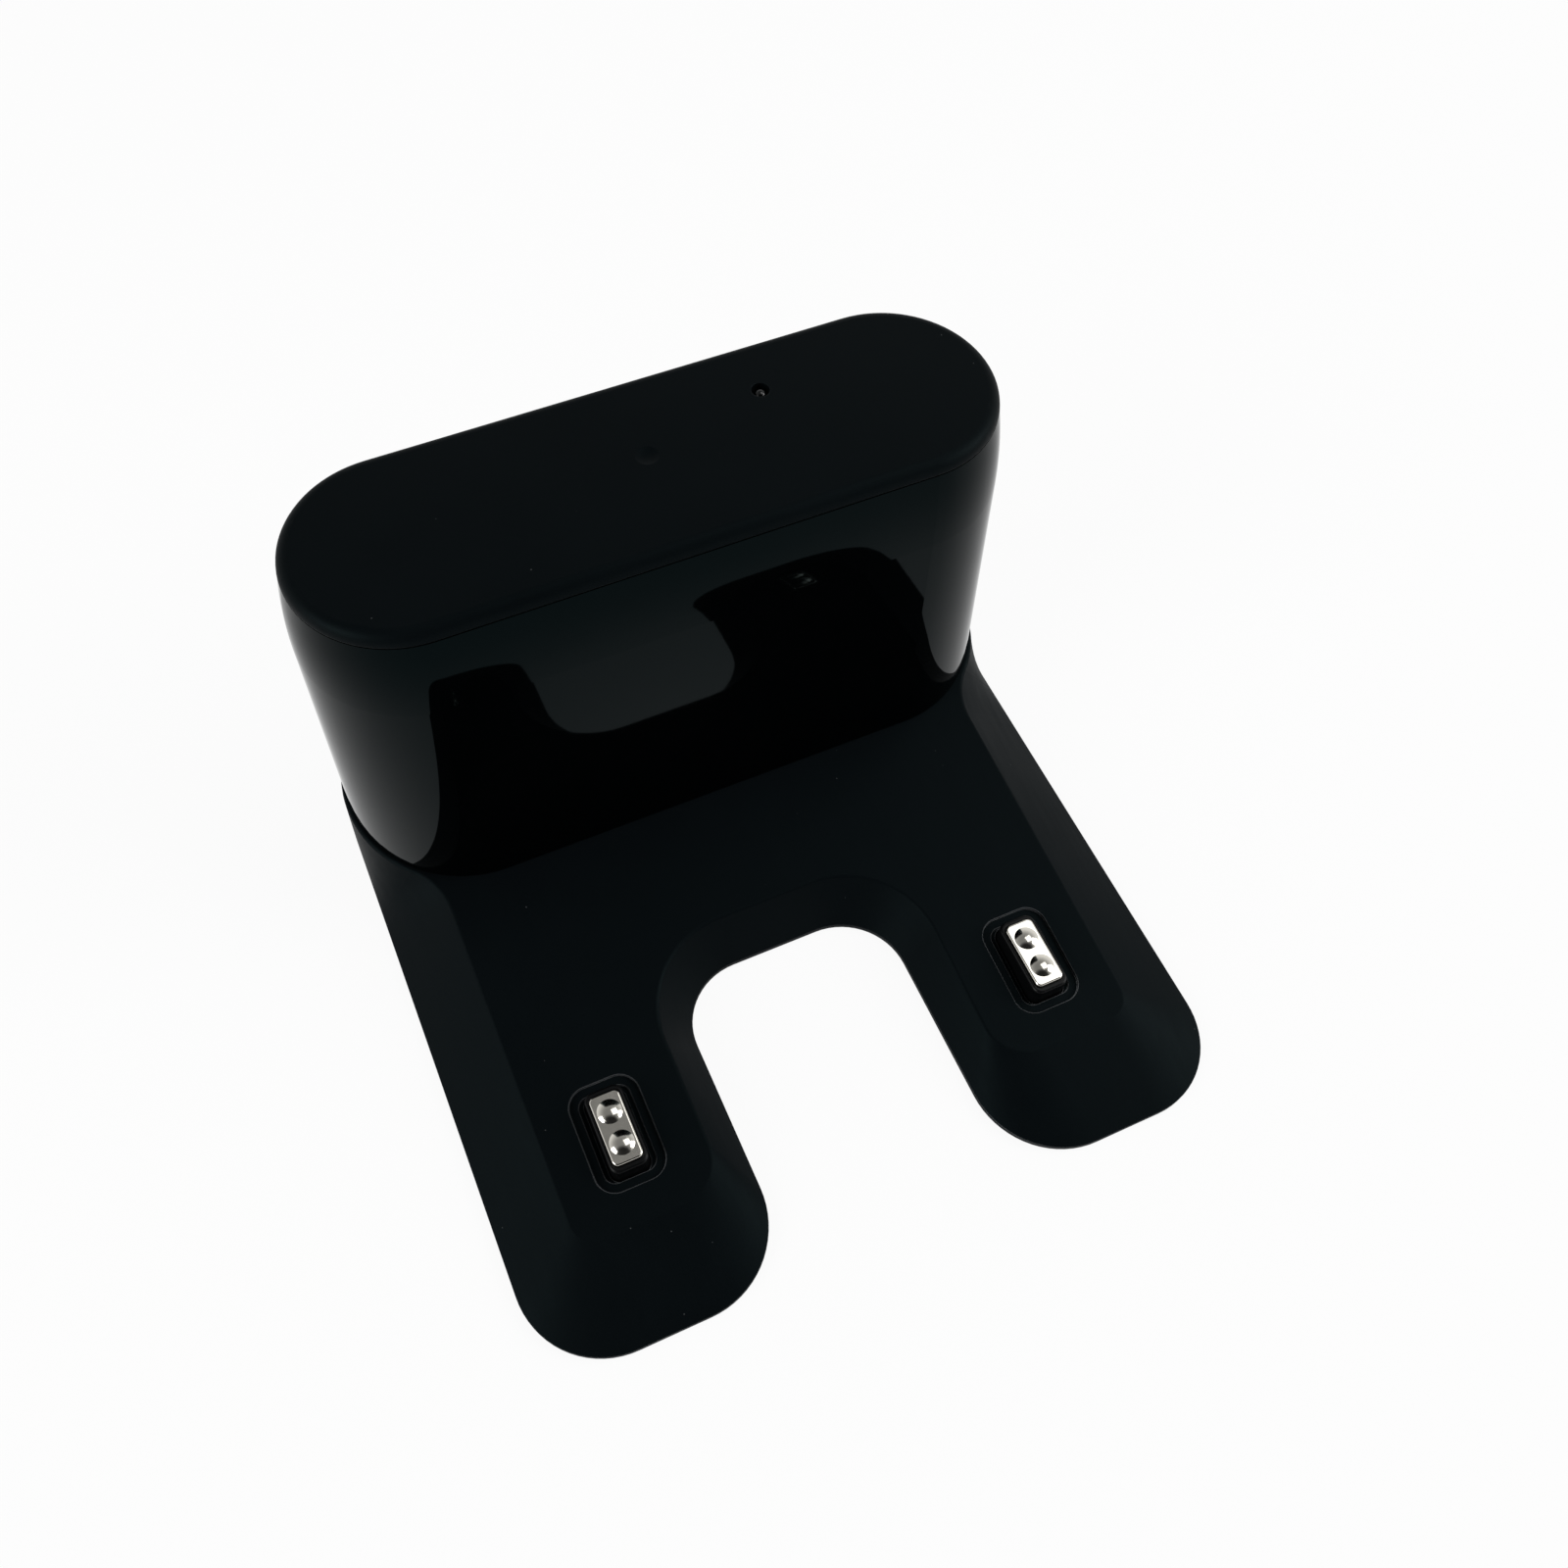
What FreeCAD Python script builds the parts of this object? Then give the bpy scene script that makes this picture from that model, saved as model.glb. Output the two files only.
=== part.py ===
import FreeCAD, Part
import math
import os
import re

import Sketcher

# Charging dock for a robot vacuum: a low base with two arms and a notch between them, a
# sprung contact on each arm, and a stadium-shaped tower with the beacon and the power supply.
# Millimetres. The origin is on the floor below the middle of the footprint, +Z is up, and
# the robot drives in from -Y.

doc = FreeCAD.newDocument("ChargingDock")
sheet = doc.addObject("Spreadsheet::Sheet", "Size")

SIZES = [
    # Base shell
    ("base_width", 150.0),
    ("base_depth", 153.2),
    ("foot_gap", 0.8),
    ("base_height", 11.9),
    ("face_tilt", 4.73),
    ("edge_land", 1.2),
    ("side_run", 14.2),
    ("front_run", 20.0),
    ("notch_width", 48.0),
    ("notch_depth", 64.7),
    ("notch_side_run", 6.6),
    ("notch_end_run", 6.5),
    ("corner_radius", 18.0),
    ("corner_radius_top", 5.0),
    ("tip_radius", 18.35),
    ("tip_radius_top", 9.0),
    ("notch_radius", 14.25),
    ("notch_radius_top", 20.0),
    ("flare_radius", 16.0),
    ("flange_run", 1.2),
    ("arris_radius", 0.8),
    ("base_wall", 2.0),
    ("rim_wall", 4.4),
    ("ledge", 3.0),
    # Bottom plate, feet and screws
    ("plate_thickness", 1.6),
    ("plate_gap", 0.25),
    ("foot_radius", 6.0),
    ("foot_recess", 0.8),
    ("foot_gap_round", 0.1),
    ("foot_bevel", 0.25),
    ("front_foot_x", 50.0),
    ("front_foot_inset", 12.1),
    ("rear_foot_x", 60.0),
    ("rear_foot_lead", 10.0),
    ("screw_radius", 1.5),
    ("screw_head_radius", 2.8),
    ("screw_length", 5.5),
    ("screw_gap", 0.1),
    ("boss_radius", 3.4),
    ("front_boss_x", 46.6),
    ("front_boss_lead", 16.0),
    ("middle_boss_x", 55.0),
    ("middle_boss_back", 13.0),
    ("rear_boss_x", 56.0),
    ("rear_boss_back", 8.5),
    # Tower sleeve and cap
    ("tower_length", 146.1),
    ("tower_depth", 52.8),
    ("overall_height", 89.3),
    ("sleeve_wall", 1.8),
    ("sleeve_lean", 3.3),
    ("shoulder_height", 16.2),
    ("shoulder_radius", 93.0),
    ("lid_height", 2.4),
    ("cap_edge_radius", 2.4),
    ("cap_wall", 2.2),
    ("seam_height", 0.3),
    ("seam_depth", 0.7),
    ("skirt_depth", 5.0),
    ("skirt_wall", 1.6),
    ("fit_gap", 0.25),
    ("spigot_wall", 1.8),
    ("spigot_height", 2.0),
    ("lens_x", 24.5),
    ("lens_back", 8.3),
    ("lens_radius", 1.65),
    ("lens_gap", 0.1),
    ("lens_sink", 0.3),
    ("dimple_radius", 2.15),
    ("dimple_depth", 0.35),
    ("dimple_x", -0.5),
    ("dimple_back", 1.4),
    # Contacts
    ("contact_spacing", 92.4),
    ("contact_from_front", 37.9),
    ("well_width", 14.5),
    ("well_length", 21.8),
    ("well_radius", 4.2),
    ("well_step", 0.7),
    ("step_inset", 1.9),
    ("carrier_width", 7.9),
    ("carrier_length", 17.1),
    ("carrier_radius", 1.9),
    ("carrier_rim", 0.6),
    ("carrier_proud", 3.4),
    ("carrier_gap", 0.35),
    ("collar_margin", 1.5),
    ("collar_bottom", 6.5),
    ("collar_stop_gap", 0.3),
    ("carrier_flange", 0.95),
    ("carrier_flange_thickness", 1.0),
    ("contact_width", 6.25),
    ("contact_length", 14.5),
    ("contact_radius", 1.2),
    ("contact_thickness", 1.2),
    ("contact_edge_radius", 0.4),
    ("contact_seat", 0.5),
    ("contact_gap", 0.2),
    ("dome_radius", 2.5),
    ("dome_height", 0.8),
    ("dome_pitch", 6.6),
    ("stud_radius", 2.4),
    ("spring_width", 4.2),
    ("spring_reach", 6.9),
    ("spring_thickness", 0.4),
    ("spring_play", 0.1),
    ("nest_width", 5.2),
    ("nest_length", 14.4),
    ("nest_radius", 0.8),
    ("nest_ceiling", 9.6),
    ("terminal_width", 7.0),
    ("terminal_front", 8.5),
    ("terminal_back", 19.0),
    ("terminal_thickness", 0.4),
    ("crimp_radius", 1.3),
    ("crimp_length", 5.0),
    # Leads from the terminals to the power board
    ("lead_radius", 0.8),
    ("lead_bend", 6.0),
    ("lead_turn_back", 24.0),
    ("lead_in_x", 14.0),
    ("lead_in_back", 11.0),
    ("lead_rise", 4.5),
    ("lead_hole_radius", 3.0),
    # Inner chassis
    ("post_radius", 4.0),
    ("post_x", 38.0),
    ("post_back", 12.0),
    ("post_height", 3.4),
    ("post_seat", 0.4),
    ("chassis_width", 92.0),
    ("chassis_depth", 34.0),
    ("chassis_foot", 2.5),
    ("chassis_wall", 2.0),
    ("chassis_drop", 8.0),
    ("chassis_flange", 9.0),
    ("chassis_head_height", 1.6),
    ("web_front", 5.0),
    ("standoff_radius", 3.0),
    ("standoff_height", 4.0),
    # Boards
    ("board_thickness", 1.6),
    ("board_screw_radius", 1.2),
    ("board_screw_head", 2.4),
    ("board_screw_length", 5.0),
    ("board_lift", 3.5),
    ("board_drop", 3.0),
    ("power_board_width", 78.0),
    ("power_hole_x", 35.0),
    ("power_hole_edge", 4.0),
    ("ir_board_width", 70.0),
    ("ir_board_height", 28.0),
    ("ir_hole_x", 31.0),
    ("ir_hole_edge", 4.0),
    ("emitter_radius", 2.5),
    ("emitter_length", 4.5),
    ("emitter_spacing", 20.0),
    ("shroud_width", 54.0),
    ("shroud_height", 14.0),
    ("shroud_depth", 5.5),
    ("shroud_gap", 0.4),
    # Mains inlet
    ("inlet_x", 28.0),
    ("inlet_rise", 14.5),
    ("inlet_width", 19.0),
    ("inlet_height", 12.5),
    ("inlet_edge_radius", 2.0),
    ("inlet_sink", 0.3),
    ("socket_radius", 3.8),
    ("socket_spread", 3.2),
    ("socket_depth", 14.0),
    ("pin_radius", 1.2),
    ("pin_pitch", 8.6),
    ("pin_length", 10.5),
    # Parts on the power board
    ("supply_gap", 1.5),
    ("core_width", 24.0),
    ("core_height", 21.0),
    ("core_share", 0.4),
    ("core_end_share", 0.2),
    ("winding_radius", 6.5),
    ("bulk_radius", 6.25),
    ("bulk_share", 0.9),
    ("low_row", 4.2),
    ("output_x", 24.0),
    ("output_radius", 4.0),
    ("output_length", 12.0),
    ("choke_x", 21.7),
    ("choke_drop", 6.0),
    ("choke_radius", 4.6),
    ("choke_length", 10.0),
    ("fuse_x", 5.0),
    ("fuse_width", 9.0),
    ("fuse_height", 4.0),
    ("fuse_depth", 7.5),
    ("rectifier_x", 8.0),
    ("rectifier_width", 9.0),
    ("rectifier_height", 7.0),
    ("rectifier_depth", 2.6),
    # Indicator below the cap
    ("indicator_board_width", 18.0),
    ("indicator_board_depth", 10.0),
    ("indicator_board_drop", 9.0),
    ("indicator_post_x", 6.5),
    ("indicator_post_radius", 1.6),
    ("indicator_post_root", 0.5),
    ("indicator_peg_radius", 1.0),
    ("led_width", 3.2),
    ("led_depth", 2.8),
    ("led_height", 1.9),
    ("led_gap", 0.4),
    ("lens_flange_radius", 3.0),
    ("lens_flange_height", 1.0),
]

for row, (alias, number) in enumerate(SIZES, 1):
    sheet.set(f"A{row}", alias)
    sheet.set(f"B{row}", str(number))
    sheet.setAlias(f"B{row}", alias)
doc.recompute()
ALIASES = {alias for alias, _ in SIZES}


def bound(text):
    """An expression with each size's name pointing at its cell."""
    return re.sub(
        r"[a-z_]+[a-z]", lambda word: ("Size." if word.group() in ALIASES else "") + word.group(), text
    )


def value(text):
    return float(sheet.evalExpression(bound(text)))


def same(first, second):
    return math.isclose(first, second, abs_tol=0.001)


def bind(thing, **sizes):
    """Ties properties to expressions; a double underscore stands for a dot in the property's path."""
    for path, text in sizes.items():
        thing.setExpression(path.replace("__", "."), bound(text))


# Sketches and features of a moulded piece

def new_body(name):
    body = doc.addObject("PartDesign::Body", name)
    body.Label = name
    return body


def sketch(body, name, height, role="XY_Plane", tilt=None):
    made = body.newObject("Sketcher::SketchObject", name)
    plane = [item for item in body.Origin.OriginFeatures if item.Role == role][0]
    made.AttachmentSupport = [(plane, "")]
    made.MapMode = "FlatFace"
    made.AttachmentOffset = FreeCAD.Placement(
        FreeCAD.Vector(0, 0, value(height)), FreeCAD.Rotation(FreeCAD.Vector(1, 0, 0), 1)
    )
    bind(made, AttachmentOffset__Base__z=height, AttachmentOffset__Rotation__Angle=tilt or "0")
    return made


def add_size(made, kind, text, *where):
    index = made.addConstraint(Sketcher.Constraint(kind, *where, value(text)))
    made.setExpression(f"Constraints[{index}]", bound(text))


def chain(made, points):
    """Closed outline. A point is (x, y), or (x, y, radius, turn) where an arc leaves it."""
    places = [FreeCAD.Vector(value(point[0]), value(point[1]), 0) for point in points]
    edges = []
    for index, point in enumerate(points):
        start = places[index]
        end = places[(index + 1) % len(points)]
        if len(point) == 2:
            edges.append((made.addGeometry(Part.LineSegment(start, end), False), 1, 2))
            continue
        radius = value(point[2])
        span = end - start
        rise = math.sqrt(max(radius**2 - span.Length**2 / 4, 0)) * point[3]
        centre = (start + end) / 2 + FreeCAD.Vector(-span.y, span.x, 0).normalize() * rise
        circle = Part.Circle(centre, FreeCAD.Vector(0, 0, 1), radius)
        angles = [math.atan2(place.y - centre.y, place.x - centre.x) for place in (start, end)]
        if point[3] > 0:
            edges.append((made.addGeometry(Part.ArcOfCircle(circle, *angles), False), 1, 2))
        else:
            edges.append((made.addGeometry(Part.ArcOfCircle(circle, *angles[::-1]), False), 2, 1))
    for (edge, _, last), (following, first, _) in zip(edges, edges[1:] + edges[:1]):
        made.addConstraint(Sketcher.Constraint("Coincident", edge, last, following, first))
    for (edge, first, _), point in zip(edges, points):
        add_size(made, "DistanceX", point[0], -1, 1, edge, first)
        add_size(made, "DistanceY", point[1], -1, 1, edge, first)
        if len(point) == 4:
            add_size(made, "Radius", point[2], edge)


def disc(made, x, y, radius):
    place = FreeCAD.Vector(value(x), value(y), 0)
    circle = made.addGeometry(Part.Circle(place, FreeCAD.Vector(0, 0, 1), value(radius)), False)
    add_size(made, "DistanceX", x, -1, 1, circle, 3)
    add_size(made, "DistanceY", y, -1, 1, circle, 3)
    add_size(made, "Radius", radius, circle)


def mirrored(half):
    """The left half of an outline followed by its mirror image, back to the start."""
    whole = list(half)
    for index in range(len(half) - 1, -1, -1):
        arc = half[index - 1][2:] if index else ()
        whole.append((f"-({half[index][0]})", half[index][1]) + tuple(arc))
    return whole


def rounded(x, y, width, length, radius):
    """Rounded rectangle about a centre."""
    left = f"{x} - ({width}) / 2"
    right = f"{x} + ({width}) / 2"
    low = f"{y} - ({length}) / 2"
    high = f"{y} + ({length}) / 2"
    return [
        (left, f"{low} + {radius}", radius, 1),
        (f"{left} + {radius}", low),
        (f"{right} - ({radius})", low, radius, 1),
        (right, f"{low} + {radius}"),
        (right, f"{high} - ({radius})", radius, 1),
        (f"{right} - ({radius})", high),
        (f"{left} + {radius}", high, radius, 1),
        (left, f"{high} - ({radius})"),
    ]


def stadium(inset):
    """The tower's plan, drawn in by an inset."""
    radius = f"tower_depth / 2 - ({inset})"
    return mirrored([
        (f"-({END_X})", f"{TOWER_Y} + {radius}", radius, 1),
        (f"-({END_X}) - ({radius})", TOWER_Y, radius, 1),
        (f"-({END_X})", f"{TOWER_Y} - ({radius})"),
    ])


def feature(body, kind, profile, length=None, **options):
    made = body.newObject(f"PartDesign::{kind}", f"{kind}")
    made.Profile = profile
    if length:
        bind(made, Length=length)
    for name, setting in options.items():
        setattr(made, name, setting)
    doc.recompute()
    return made


def edges_where(made, test):
    return [f"Edge{index}" for index, edge in enumerate(made.Shape.Edges, 1) if test(edge)]


def level_at(text):
    """Edges that lie at one height."""
    return lambda edge: all(same(v.Z, value(text)) for v in edge.Vertexes)


def soften(body, kind, base, names, **sizes):
    made = body.newObject(f"PartDesign::{kind}", kind)
    made.Base = (base, names)
    bind(made, **sizes)
    doc.recompute()
    return made


# Plain solids

def solid(kind, name, place, turn=None, **sizes):
    """A primitive at a place given by three expressions, turned about an axis if asked."""
    made = doc.addObject(f"Part::{kind}", name)
    made.Label = name
    bind(made, **sizes)
    if turn:
        made.Placement.Rotation = FreeCAD.Rotation(FreeCAD.Vector(*turn[:3]), turn[3])
    bind(made, Placement__Base__x=place[0], Placement__Base__y=place[1], Placement__Base__z=place[2])
    return made


def block(name, x, y, z, width, depth, height):
    """A box given by the middle of its plan and its underside."""
    place = (f"{x} - ({width}) / 2", f"{y} - ({depth}) / 2", z)
    return solid("Box", name, place, Length=width, Width=depth, Height=height)


def rod(name, place, radius, length, turn=None):
    return solid("Cylinder", name, place, turn, Radius=radius, Height=length)


def joined(name, pieces):
    made = doc.addObject("Part::MultiFuse", name)
    made.Label = name
    made.Shapes = pieces
    return made


def group(name, pieces):
    made = doc.addObject("Part::Compound", name)
    made.Label = name
    made.Links = pieces
    return made


def cut(name, base, tool):
    made = doc.addObject("Part::Cut", name)
    made.Label = name
    made.Base = base
    made.Tool = tool
    return made


BACKWARD = (1, 0, 0, -90)
FORWARD = (1, 0, 0, 90)

# Places that several pieces share
END_X = "(tower_length - tower_depth) / 2"
TOWER_Y = "(base_depth - base_width + tower_length - tower_depth) / 2"
FLANGE = "(base_width - tower_length + tower_depth) / 2"
TOWER_FRONT = f"({TOWER_Y} - tower_depth / 2)"
TOWER_BACK = f"({TOWER_Y} + tower_depth / 2)"
PLATE_TOP = "foot_gap + plate_thickness"
SEAM_Z = "(overall_height - lid_height - seam_height)"
CEILING = "(overall_height - cap_wall)"
CONTACT_X = "contact_spacing / 2"
CONTACT_Y = "(contact_from_front - base_depth / 2)"
NOTCH_Y = "(notch_depth - base_depth / 2)"
MIDDLE = "foot_gap + base_height"
SIDES = (("left", "-"), ("right", ""))


def face_z(y):
    """Height of the base's sloping top face."""
    return f"({MIDDLE} + ({y}) * tan(face_tilt))"


# Heights of what stands inside the tower
POST_FOOT = f"({face_z(f'{TOWER_Y} - post_back - post_radius')} - base_wall - post_seat)"
POST_TOP = f"({face_z(f'{TOWER_Y} + post_back')} + post_height)"
CHASSIS_TOP = f"({CEILING} - chassis_drop)"
POWER_LOW = f"({POST_TOP} + chassis_foot + board_lift)"
POWER_HIGH = f"({CHASSIS_TOP} - board_drop)"
IR_LOW = f"({POWER_HIGH} - ir_board_height)"
INLET_Z = f"({POWER_LOW} + inlet_rise)"

# The sleeve leans in as it rises, and a rolled shoulder takes it further in up to the seam
FOOT_Z = face_z(TOWER_FRONT)
SHOULDER_Z = f"({SEAM_Z} - shoulder_height)"
TOP_SINE = "(shoulder_height / shoulder_radius + sin(sleeve_lean))"
TOP_COSINE = f"sqrt(1 - {TOP_SINE} ^ 2)"


def leaning(z):
    """How far the sleeve's straight part stands in from its foot."""
    return f"((({z}) - {FOOT_Z}) * tan(sleeve_lean))"


TOP_INSET = f"({leaning(SHOULDER_Z)} + shoulder_radius * (cos(sleeve_lean) - {TOP_COSINE}))"


# Base shell. Its top face slopes down to the robot, and its sides are ruled from the edge on
# the floor to the arris of that face. Behind the arms the arris flares out, round the tower's
# foot, until it stands nearly above the edge below and leaves a narrow ledge round the sleeve.

def flare(inset):
    """Where the arris leaves the side and where it meets the flange round the tower."""
    side = f"(base_width / 2 - side_run - ({inset}))"
    bend = f"(flare_radius + {inset})"
    ring = f"({FLANGE} - flange_run - ({inset}))"
    reach = f"({side} + {bend} - {END_X})"
    start = f"({TOWER_Y} - sqrt(({bend} + {ring}) ^ 2 - {reach} ^ 2))"
    meet_x = f"({END_X} + {reach} * {ring} / ({bend} + {ring}))"
    meet_y = f"({TOWER_Y} - ({TOWER_Y} - {start}) * {ring} / ({bend} + {ring}))"
    return side, bend, ring, start, meet_x, meet_y


def floor_outline(inset, top_inset="0"):
    _, _, _, start, _, meet_y = flare(top_inset)
    ring = f"({FLANGE} - ({inset}))"
    side = f"(base_width / 2 - ({inset}))"
    front = f"({inset} - base_depth / 2)"
    notch = f"(notch_width / 2 + {inset})"
    corner = f"(corner_radius - ({inset}))"
    tip = f"(tip_radius - ({inset}))"
    bend = f"(notch_radius + {inset})"
    return mirrored([
        (f"-({END_X})", f"{TOWER_Y} + {ring}", ring, 1),
        (f"-{side}", TOWER_Y),
        (f"-{side}", meet_y),
        (f"-{side}", start),
        (f"-{side}", f"{front} + {corner}", corner, 1),
        (f"-{side} + {corner}", front),
        (f"-{notch} - {tip}", front, tip, 1),
        (f"-{notch}", f"{front} + {tip}"),
        (f"-{notch}", f"{NOTCH_Y} + {inset} - {bend}", bend, -1),
        (f"-{notch} + {bend}", f"{NOTCH_Y} + {inset}"),
    ])


def face_outline(inset):
    side, sweep, ring, start, meet_x, meet_y = flare(inset)
    front = f"({inset} + front_run - base_depth / 2)"
    notch = f"(notch_width / 2 + notch_side_run + {inset})"
    notch_end = f"({NOTCH_Y} + notch_end_run + {inset})"
    corner = f"(corner_radius_top - ({inset}))"
    tip = f"(tip_radius_top - ({inset}))"
    bend = f"(notch_radius_top + {inset})"
    return mirrored([
        (f"-({END_X})", f"{TOWER_Y} + {ring}", ring, 1),
        (f"-({END_X}) - {ring}", TOWER_Y, ring, 1),
        (f"-{meet_x}", meet_y, sweep, -1),
        (f"-{side}", start),
        (f"-{side}", f"{front} + {corner}", corner, 1),
        (f"-{side} + {corner}", front),
        (f"-{notch} - {tip}", front, tip, 1),
        (f"-{notch}", f"{front} + {tip}"),
        (f"-{notch}", f"{notch_end} - {bend}", bend, -1),
        (f"-{notch} + {bend}", notch_end),
    ])


base = new_body("base_cover")
land = sketch(base, "FloorEdge", "foot_gap")
chain(land, floor_outline("0"))
feature(base, "Pad", land, "edge_land")
low = sketch(base, "SlopeFoot", "foot_gap + edge_land")
chain(low, floor_outline("0"))
high = sketch(base, "Arris", MIDDLE, tilt="face_tilt")
chain(high, face_outline("0"))
slope = feature(base, "AdditiveLoft", low, Sections=[high], Ruled=True)


def on_face(edge):
    """Edges that lie in the sloping top face."""
    rise = math.tan(math.radians(value("face_tilt")))
    return all(same(v.Z, value(MIDDLE) + v.Y * rise) for v in edge.Vertexes)


soften(base, "Fillet", slope, edges_where(slope, on_face), Radius="arris_radius")

# The shell's hollow follows the outside, and the bottom plate's rebate is below it
hollow_low = sketch(base, "HollowFoot", PLATE_TOP)
chain(hollow_low, floor_outline("rim_wall + ledge", "base_wall"))
hollow_high = sketch(base, "HollowTop", f"{MIDDLE} - base_wall", tilt="face_tilt")
chain(hollow_high, face_outline("base_wall"))
feature(base, "SubtractiveLoft", hollow_low, Sections=[hollow_high], Ruled=True)
rebate = sketch(base, "PlateRebate", "foot_gap")
chain(rebate, floor_outline("rim_wall"))
feature(base, "Pocket", rebate, "plate_thickness", Reversed=True)

# Screw bosses for the bottom plate, and posts for the chassis with lead holes beside them
BOSSES = [
    ("front_boss_x", f"({CONTACT_Y} - front_boss_lead)"),
    ("middle_boss_x", f"({NOTCH_Y} + middle_boss_back)"),
    ("rear_boss_x", f"({TOWER_Y} + rear_boss_back)"),
]
for boss_x, boss_y in BOSSES:
    ring = sketch(base, "Boss", PLATE_TOP)
    for _, sign in SIDES:
        disc(ring, f"{sign}{boss_x}", boss_y, "boss_radius")
    feature(base, "Pad", ring, f"{face_z(boss_y)} - base_wall / 2 - ({PLATE_TOP})")
pilots = sketch(base, "BossPilots", PLATE_TOP)
for boss_x, boss_y in BOSSES:
    for _, sign in SIDES:
        disc(pilots, f"{sign}{boss_x}", boss_y, "screw_radius + screw_gap")
feature(base, "Pocket", pilots, "screw_length - plate_thickness + screw_gap", Reversed=True)

POSTS = [(f"{sign}post_x", f"{TOWER_Y} {back} post_back") for _, sign in SIDES for back in "-+"]
posts = sketch(base, "ChassisPosts", POST_FOOT)
for post_x, post_y in POSTS:
    disc(posts, post_x, post_y, "post_radius")
feature(base, "Pad", posts, f"{POST_TOP} - {POST_FOOT}")
post_holes = sketch(base, "PostHoles", POST_TOP)
for post_x, post_y in POSTS:
    disc(post_holes, post_x, post_y, "screw_radius + screw_gap")
for _, sign in SIDES:
    disc(post_holes, f"{sign}lead_in_x", f"{TOWER_Y} + lead_in_back", "lead_hole_radius")
feature(base, "Pocket", post_holes, Type="ThroughAll")

# Spigot that the sleeve slips over, level at the top and clear of the leaning wall
SPIGOT_FOOT = f"({FOOT_Z} - base_wall / 2)"
SPIGOT_TOP = f"({face_z(TOWER_BACK)} + spigot_height)"
SPIGOT_INSET = f"sleeve_wall + fit_gap + {leaning(SPIGOT_TOP)}"
spigot = sketch(base, "Spigot", SPIGOT_FOOT)
chain(spigot, stadium(SPIGOT_INSET))
chain(spigot, stadium(f"{SPIGOT_INSET} + spigot_wall"))
feature(base, "Pad", spigot, f"{SPIGOT_TOP} - {SPIGOT_FOOT}")

# Contact wells: a collar below with a level foot, two steps sunk into the sloping face, and
# the carrier's upright slot
steps = sketch(base, "WellSteps", MIDDLE, tilt="face_tilt")
inner_steps = sketch(base, "InnerSteps", MIDDLE, tilt="face_tilt")
slots = sketch(base, "CarrierSlots", MIDDLE)
for _, sign in SIDES:
    at = (f"{sign}{CONTACT_X}", CONTACT_Y)
    on_slope = (at[0], f"{CONTACT_Y} / cos(face_tilt)")
    collar_plan = ("well_width + 2 * collar_margin", "well_length + 2 * collar_margin",
                   "well_radius + collar_margin")
    collar_foot = sketch(base, "CollarFoot", "collar_bottom")
    chain(collar_foot, rounded(*at, *collar_plan))
    collar_top = sketch(base, "CollarTop", f"{MIDDLE} - base_wall / 2", tilt="face_tilt")
    chain(collar_top, rounded(*on_slope, *collar_plan))
    feature(base, "AdditiveLoft", collar_foot, Sections=[collar_top], Ruled=True)
    chain(steps, rounded(*on_slope, "well_width", "well_length", "well_radius"))
    chain(inner_steps, rounded(*on_slope, "well_width - 2 * step_inset", "well_length - 2 * step_inset",
                               "well_radius - step_inset"))
    chain(slots, rounded(*at, "carrier_width + 2 * carrier_gap", "carrier_length + 2 * carrier_gap",
                         "carrier_radius + carrier_gap"))
feature(base, "Pocket", steps, "well_step")
feature(base, "Pocket", inner_steps, "2 * well_step")
feature(base, "Pocket", slots, Type="ThroughAll")

# Bottom plate with recesses for the feet and countersunk screw holes
bottom = new_body("bottom_plate")
sheet_outline = sketch(bottom, "PlateOutline", "foot_gap")
chain(sheet_outline, floor_outline("rim_wall + plate_gap"))
feature(bottom, "Pad", sheet_outline, "plate_thickness")
FOOT_PLACES = (("front_foot_x", "(front_foot_inset - base_depth / 2)"),
               ("rear_foot_x", f"({TOWER_Y} - rear_foot_lead)"))
FEET = [(f"{sign}{x}", y) for _, sign in SIDES for x, y in FOOT_PLACES]
recesses = sketch(bottom, "FootRecesses", "foot_gap")
for foot_x, foot_y in FEET:
    disc(recesses, foot_x, foot_y, "foot_radius + foot_gap_round")
feature(bottom, "Pocket", recesses, "foot_recess", Reversed=True)
holes = sketch(bottom, "ScrewHoles", "foot_gap")
for boss_x, boss_y in BOSSES:
    for _, sign in SIDES:
        disc(holes, f"{sign}{boss_x}", boss_y, "screw_radius + screw_gap")
drilled = feature(bottom, "Pocket", holes, Type="ThroughAll", Reversed=True)


def hole_mouth(edge):
    """Rims of the screw holes on the plate's underside."""
    is_hole = same(getattr(edge.Curve, "Radius", 0), value("screw_radius + screw_gap"))
    return is_hole and same(edge.BoundBox.ZMax, value("foot_gap"))


soften(bottom, "Chamfer", drilled, edges_where(drilled, hole_mouth),
       Size="screw_head_radius - screw_radius")

# Rubber feet and the countersunk screws of the bottom plate
feet = new_body("rubber_feet")
pads = sketch(feet, "Pads", "0")
for foot_x, foot_y in FEET:
    disc(pads, foot_x, foot_y, "foot_radius")
padded = feature(feet, "Pad", pads, "foot_gap + foot_recess")
soften(feet, "Chamfer", padded, edges_where(padded, level_at("0")), Size="foot_bevel")

screws = []
for number, (boss_x, boss_y) in enumerate(BOSSES, 1):
    for side, sign in SIDES:
        at = (f"{sign}{boss_x}", boss_y)
        head = solid("Cone", f"ScrewHead{number}{side}", (*at, "foot_gap"), Radius1="screw_head_radius",
                     Radius2="screw_radius", Height="screw_head_radius - screw_radius")
        shank = rod(f"ScrewShank{number}{side}", (*at, "foot_gap"), "screw_radius", "screw_length")
        screws.append(joined(f"Screw{number}{side}", [head, shank]))
group("base_screws", screws)

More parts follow.
